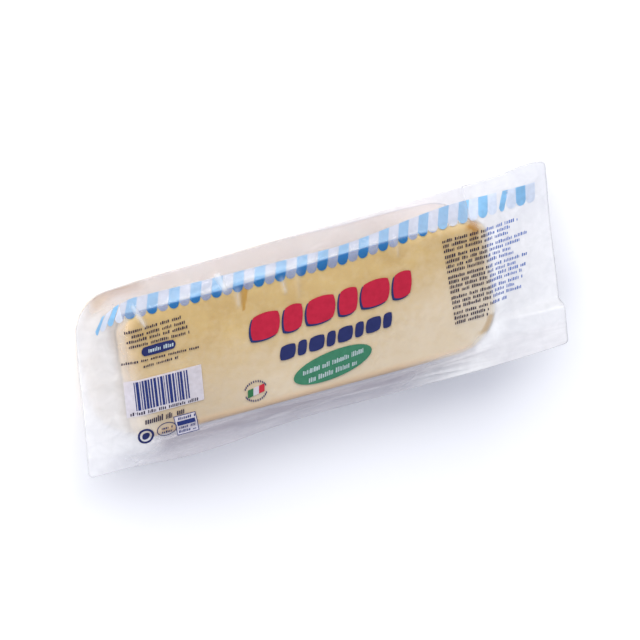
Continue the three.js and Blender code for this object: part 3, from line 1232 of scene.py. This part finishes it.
# The disc of three fields
DISC = (-34.5, -26.5)
DISC_SIZE = (13.4, 11.4)
DISC_ARCS = ((25, 155), (205, 335))
DISC_MARKS = 12
DISC_MARK = (0.6, 1.3)
DISC_BAND = 4.6
DISC_FIELD = 3.4
DISC_SLANT = 0.5
DISC_RISE = 0.6
DISC_STEPS = (3, 3)
DISC_FIELDS = (
    # piece, ink, left side in fields from the middle
    ("disc_green", "field_green_ink", -1.5),
    ("disc_white", "panel_ink", -0.5),
    ("disc_red", "field_red_ink", 0.5),
)


def arc_marks(start, stop):
    """Tiny upright marks along part of the disc's rim, from one angle in degrees to another."""
    marks = []
    wide, tall = DISC_MARK
    for angle in np.radians(np.linspace(start, stop, DISC_MARKS)):
        x = DISC[0] + DISC_SIZE[0] / 2 * math.cos(angle)
        y = DISC[1] + DISC_SIZE[1] / 2 * math.sin(angle)
        marks.append(bar(x - wide / 2, y - tall / 2, wide, tall))
    return marks


def make_disc(film):
    """Three upright fields of colour with an arc of tiny marks over and under them."""
    arcs = [mark for ends in DISC_ARCS for mark in arc_marks(*ends)]
    printed(film, "disc_marks", arcs, "navy_ink")
    for name, ink_name, shift in DISC_FIELDS:
        x = DISC[0] + shift * DISC_FIELD
        y = DISC[1] - DISC_BAND / 2 + shift * DISC_RISE
        field = bar(x, y, DISC_FIELD, DISC_BAND, DISC_SLANT, DISC_RISE, DISC_STEPS)
        printed(film, name, [field], ink_name, UNDER_DEPTH)


# The panels: a wide one with bars, and a small card
PANEL = (-109.3, -23.8)
PANEL_SIZE = (44.6, 20.8)
PANEL_SLANT = 0.7
PANEL_RISE = 0.2
PANEL_STEPS = (24, 12)
BARS_SEED = 3
BARS_FOOT = -20.6
BARS_HEIGHT = 16.6
BARS_X = (-103.8, -72)
BARS_WIDTH = (0.4, 1.9)
BARS_GAP = (0.35, 0.9)
BARS_SLANT = 0.4
BARS_STEPS = (1, 8)
CARD = (-82.2, -41)
CARD_SIZE = (13, 12)
CARD_SLANT = -1.6
CARD_LINE = 0.4
CARD_BAND = (5.9, 2.6)
CARD_INSET = 1.2
CARD_STEPS = 8
CARD_ROWS = (1.2, 3.7, 9.3)
CARD_ROW_X = (1, 11)
CARD_MARK = 1.7


def made_up_bars():
    """Upright bars of random widths and gaps."""
    rng = np.random.default_rng(BARS_SEED)
    bars = []
    x, right = BARS_X
    while x < right:
        width = rng.uniform(*BARS_WIDTH)
        bars.append(bar(x, BARS_FOOT, width, BARS_HEIGHT, BARS_SLANT, steps=BARS_STEPS))
        x += width + rng.uniform(*BARS_GAP)
    return bars


def card_frame():
    """The card's outline and the filled band across it."""
    x, y = CARD
    width, height = CARD_SIZE
    line = CARD_LINE
    lean = CARD_SLANT
    foot, tall = CARD_BAND
    band_x = x + CARD_INSET + lean * foot / height
    band_width = width - 2 * CARD_INSET
    level = (CARD_STEPS, 1)
    upright = (1, CARD_STEPS)
    return [
        bar(x, y, width, line, steps=level),
        bar(x + lean, y + height - line, width, line, steps=level),
        bar(x, y, line, height, lean, steps=upright),
        bar(x + width - line, y, line, height, lean, steps=upright),
        bar(band_x, y + foot, band_width, tall, lean * tall / height, steps=(CARD_STEPS, 2)),
    ]


def make_panels(film, rng):
    panel = bar(*PANEL, *PANEL_SIZE, PANEL_SLANT, PANEL_RISE, PANEL_STEPS)
    steps = (CARD_STEPS, CARD_STEPS)
    small = bar(*CARD, *CARD_SIZE, CARD_SLANT, steps=steps)
    printed(film, "print_panels", [panel, small], "panel_ink", UNDER_DEPTH)
    marks = made_up_bars()
    left, right = (CARD[0] + x for x in CARD_ROW_X)
    for row in CARD_ROWS:
        marks += mark_row(rng, left, right, CARD[1] + row, CARD_MARK)
    printed(film, "panel_marks", marks + card_frame(), "code_ink")


# The pill, the ring and the small oval
PILL = (-86.7, 12.4)
PILL_SIZE = (19.8, 5.6)
PILL_RISE = 0.6
PILL_SOFT = 0.45
PILL_STEPS = (14, 6)
PILL_ROW = dict(left=-92.7, right=-78.7, y=11.1, height=2.4, rise=0.03)
RING = (-100.3, -36.5)
RING_SIZE = 9.2
RING_LINE = 1.3
RING_DOT = 4.2
RING_DOT_SLANT = 0.8
RING_DOT_SOFT = 0.9
SMALL_OVAL = (-88.2, -35.2)
SMALL_OVAL_SIZE = (11.8, 8.2)
SMALL_OVAL_LINE = 0.5
SMALL_OVAL_ROWS = (-2.2, 0.2)
SMALL_OVAL_HALF = 3
SMALL_OVAL_MARK = 1.5


def make_marks(film, rng):
    pill = pillow(*PILL, *PILL_SIZE, rise=PILL_RISE, soft=PILL_SOFT, steps=PILL_STEPS)
    ring = hoop(*RING, RING_SIZE, RING_SIZE, RING_LINE)
    dot = pillow(*RING, RING_DOT, RING_DOT, RING_DOT_SLANT, soft=RING_DOT_SOFT)
    marks = [pill, ring, dot, hoop(*SMALL_OVAL, *SMALL_OVAL_SIZE, SMALL_OVAL_LINE)]
    x, y = SMALL_OVAL
    for row in SMALL_OVAL_ROWS:
        marks += mark_row(rng, x - SMALL_OVAL_HALF, x + SMALL_OVAL_HALF, y + row, SMALL_OVAL_MARK)
    printed(film, "round_marks", marks, "navy_ink", UNDER_DEPTH)
    printed(film, "pill_marks", mark_row(rng, **PILL_ROW), "pale_ink")


# The small print
LEFT_ROWS = (
    # left, right, foot, height, rise
    (-104.5, -71, 24.2, 1.8, 0.05),
    (-101, -70, 21.4, 1.8, 0.04),
    (-104, -69.5, 18.6, 1.8, 0.03),
    (-103.2, -68.7, 15.7, 1.8, 0.02),
    (-108.3, -63.5, 6.8, 1.5, 0.0),
    (-96.7, -76.7, 3.2, 1.5, 0.03),
    (-107.4, -68.2, -23.2, 2.0, 0.0),
    (-100.2, -84, -29.4, 3.6, 0.02),
    (-81.5, -77.3, -28.6, 3.0, 0.02),
)
# Groups of rows: how many, and how far right they reach
RIGHT_GROUPS = ((3, 136), (4, 141), (4, 139), (3, 135), (3, 122))
RIGHT_TOP = 29.6
RIGHT_LEFT = 86.4
RIGHT_SKEW = -0.042
RIGHT_PITCH = 2.88
RIGHT_GROUP_GAP = 0.7
RIGHT_MARK = 2.0
RIGHT_SHORT = 14


def make_small_print(film, rng):
    marks = []
    for row in LEFT_ROWS:
        marks += mark_row(rng, *row)
    y = RIGHT_TOP
    for count, reach in RIGHT_GROUPS:
        for row in range(count):
            left = RIGHT_LEFT + RIGHT_SKEW * (y - RIGHT_TOP)
            short = RIGHT_SHORT * rng.uniform(0, 1) * (row > 0)
            marks += mark_row(rng, left, reach - short, y, RIGHT_MARK)
            y -= RIGHT_PITCH
        y -= RIGHT_GROUP_GAP
    printed(film, "small_print", marks, "text_ink")


def make_print(film):
    rng = np.random.default_rng(MARK_SEED)
    make_stripes(film)
    make_blocks(film)
    make_green_oval(film, rng)
    make_disc(film)
    make_panels(film, rng)
    make_marks(film, rng)
    make_small_print(film, rng)


# The camera, the floor and the light
CAMERA_TURN = -136.15
CAMERA_ELEVATION = 61.139
CAMERA_ROLL = 125.166
CAMERA_AIM = (16.48, -4.11, 29.37)
CAMERA_DISTANCE = 2444
LENS = 247.0
SENSOR = 36.0
FLOOR_SIZE = 6000
FLOOR_DROP = 0.4
FLOOR_COLOUR = (0.94, 0.94, 0.94, 1)
SKY_COLOUR = (0.80, 0.90, 1.26, 1)
SKY_STRENGTH = 0.32
LIGHTS = dict(
    key=dict(
        direction=(-0.2, 0.79, 0.59), distance=4400, size=(6400, 3900), power=370, colour=(1.0, 0.985, 0.955)
    ),
    fill=dict(
        direction=(-0.58, 0.0, 0.8), distance=4400, size=(2400, 2400), power=62, colour=(1.0, 0.99, 0.97)
    ),
)


def make_camera():
    data = bpy.data.cameras.new("camera")
    data.sensor_width = SENSOR
    data.lens = LENS
    camera = add_object("camera", data)
    turned = Matrix.Rotation(math.radians(CAMERA_TURN), 4, "Z")
    tilted = Matrix.Rotation(math.radians(90 - CAMERA_ELEVATION), 4, "X")
    rolled = Matrix.Rotation(math.radians(CAMERA_ROLL), 4, "Z")
    aimed = Matrix.Translation(Vector(CAMERA_AIM) * MM)
    drawn_back = Matrix.Translation((0, 0, CAMERA_DISTANCE * MM))
    camera.matrix_world = aimed @ turned @ tilted @ rolled @ drawn_back
    bpy.context.scene.camera = camera


def make_floor():
    material, tree = new_material("floor_white")
    shown(tree, bsdf(tree, "Diffuse", {"Color": FLOOR_COLOUR}))
    half = FLOOR_SIZE / 2 * MM
    corners = [(-half, -half, 0), (half, -half, 0), (half, half, 0), (-half, half, 0)]
    mesh = bpy.data.meshes.new("floor")
    mesh.from_pydata(corners, [], [(0, 1, 2, 3)])
    mesh.materials.append(material)
    floor = add_object("floor", mesh)
    floor.location.z = -FLOOR_DROP * MM


def add_light(name, direction, distance, size, power, colour):
    data = bpy.data.lights.new(name, "AREA")
    data.shape = "RECTANGLE"
    data.size = size[0] * MM
    data.size_y = size[1] * MM
    data.energy = power
    data.color = colour
    light = add_object(name, data)
    way = Vector(direction).normalized()
    light.location = way * distance * MM
    light.rotation_euler = way.to_track_quat("Z", "Y").to_euler()


def make_light():
    world = bpy.data.worlds.new("studio")
    world.use_nodes = True
    background = world.node_tree.nodes["Background"]
    background.inputs["Color"].default_value = SKY_COLOUR
    background.inputs["Strength"].default_value = SKY_STRENGTH
    bpy.context.scene.world = world
    for name, light in LIGHTS.items():
        add_light(name, **light)
    bpy.context.scene.view_settings.view_transform = "Standard"


make_camera()
make_floor()
make_light()
make_cheese()
make_print(make_film())
